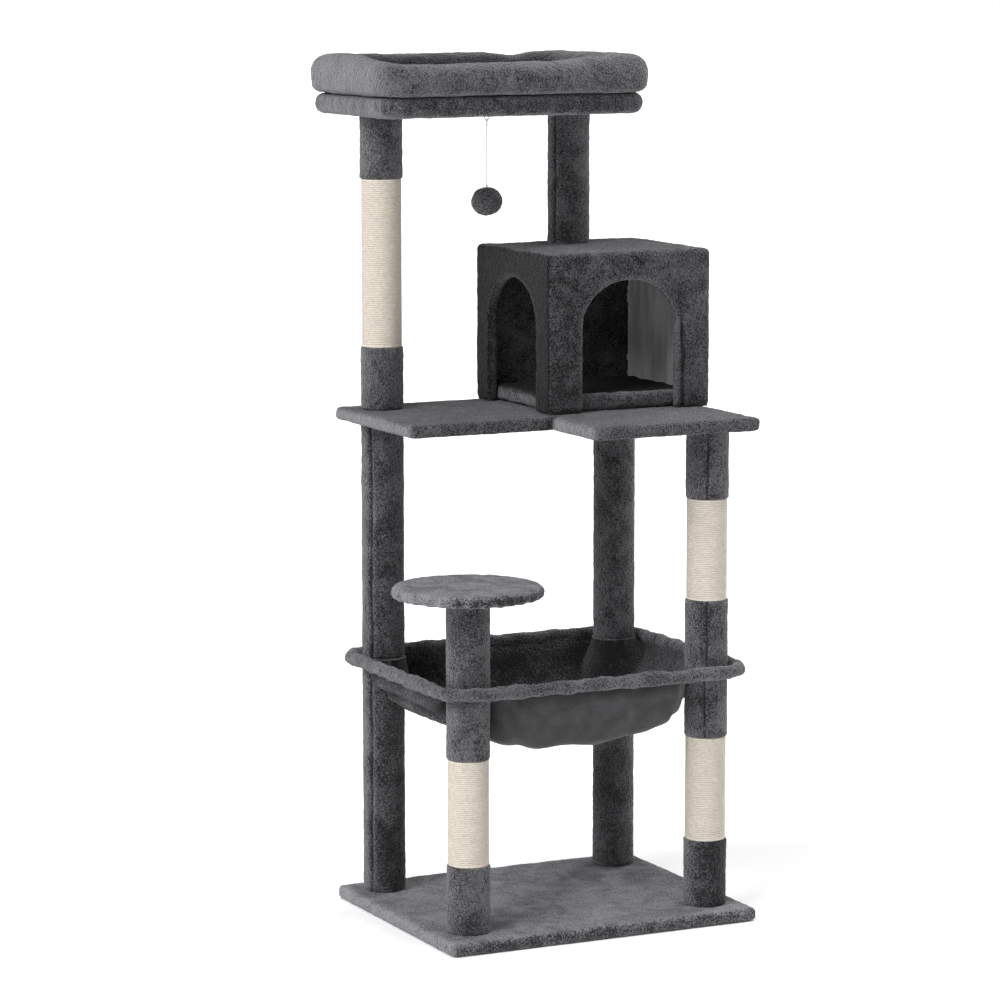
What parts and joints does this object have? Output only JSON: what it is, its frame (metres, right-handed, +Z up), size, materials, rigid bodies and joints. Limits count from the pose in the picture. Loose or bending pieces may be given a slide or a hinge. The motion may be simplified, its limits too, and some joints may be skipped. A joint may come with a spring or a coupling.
{
  "type": "cat tree",
  "caption": "Tall plush and sisal cat tree with stacked posts, stepped middle board, cave, hammock, round perch, bolster bed and a swinging toy ball.",
  "frame": {"origin": "on the floor under the middle of the base, in its resting face", "axes": "+Z up, +X to the right along the long front edge, +Y to the back"},
  "size_m": [0.617, 0.607, 1.4089],
  "materials": {
    "plush": "short dark grey plush",
    "knit": "smooth knitted back of the plush",
    "sisal": "pale sisal rope",
    "cardboard": "kraft cardboard tube with wooden end plugs",
    "board": "raw particle board",
    "steel": "zinc plated",
    "string": "white cord"
  },
  "bodies": {
    "tree": {"base_board": "board", "base_bolt_front_left": "steel", "base_bolt_front_right": "steel", "base_bolt_rear_left": "steel", "base_bolt_rear_right": "steel", "base_cover": "plush", "bed_rim": "plush", "cave_cover": "plush", "cave_mat": "plush", "cave_panel_back": "board", "cave_panel_front": "board", "cave_panel_left": "board", "cave_panel_right": "board", "cave_panel_roof": "board", "cave_roof_bolt": "steel", "core_cave_post": "cardboard", "core_front_left_lower": "cardboard", "core_front_left_middle": "cardboard", "core_front_right_lower": "cardboard", "core_front_right_middle": "cardboard", "core_rear_left_lower": "cardboard", "core_rear_left_middle": "cardboard", "core_rear_left_upper": "cardboard", "core_rear_right_lower": "cardboard", "core_rear_right_middle": "cardboard", "hammock_cloth": "knit", "hammock_rod": "steel", "middle_board": "board", "middle_bolt_front_right": "steel", "middle_bolt_rear_right": "steel", "middle_cover": "plush", "plush_cave_post": "plush", "plush_front_left_lower_bottom": "plush", "plush_front_left_lower_top": "plush", "plush_front_left_middle": "plush", "plush_front_right_lower_bottom": "plush", "plush_front_right_lower_top": "plush", "plush_front_right_middle_bottom": "plush", "plush_front_right_middle_top": "plush", "plush_rear_left_lower": "plush", "plush_rear_left_middle": "plush", "plush_rear_left_upper_bottom": "plush", "plush_rear_left_upper_top": "plush", "plush_rear_right_lower": "plush", "plush_rear_right_middle": "plush", "round_perch_board": "board", "round_perch_bolt": "steel", "round_perch_cover": "plush", "sisal_front_left_lower": "sisal", "sisal_front_right_lower": "sisal", "sisal_front_right_middle": "sisal", "sisal_rear_left_upper": "sisal", "top_perch_board": "board", "top_perch_bolt_left": "steel", "top_perch_bolt_right": "steel", "top_perch_cover": "plush", "toy_screw_eye": "steel"},
    "string_loop": {"toy_string_loop": "string"},
    "string": {"toy_string": "string"},
    "ball": {"toy_ball": "plush"}
  },
  "joints": [
    {"name": "toy_swing_front_back", "type": "hinge", "parent": "tree", "child": "string_loop", "pos_m": [-0.0385, 0.137, 1.3018], "axis": [1, 0, 0], "range_deg": [-45, 45]},
    {"name": "toy_swing_side", "type": "hinge", "parent": "string_loop", "child": "string", "pos_m": [-0.0385, 0.137, 1.2977], "axis": [0, 1, 0], "range_deg": [-45, 45]},
    {"name": "toy_ball_turn", "type": "hinge", "parent": "string", "child": "ball", "pos_m": [-0.0385, 0.137, 1.1679], "axis": [0, 0, 1], "range_deg": [-180, 180]}
  ]
}
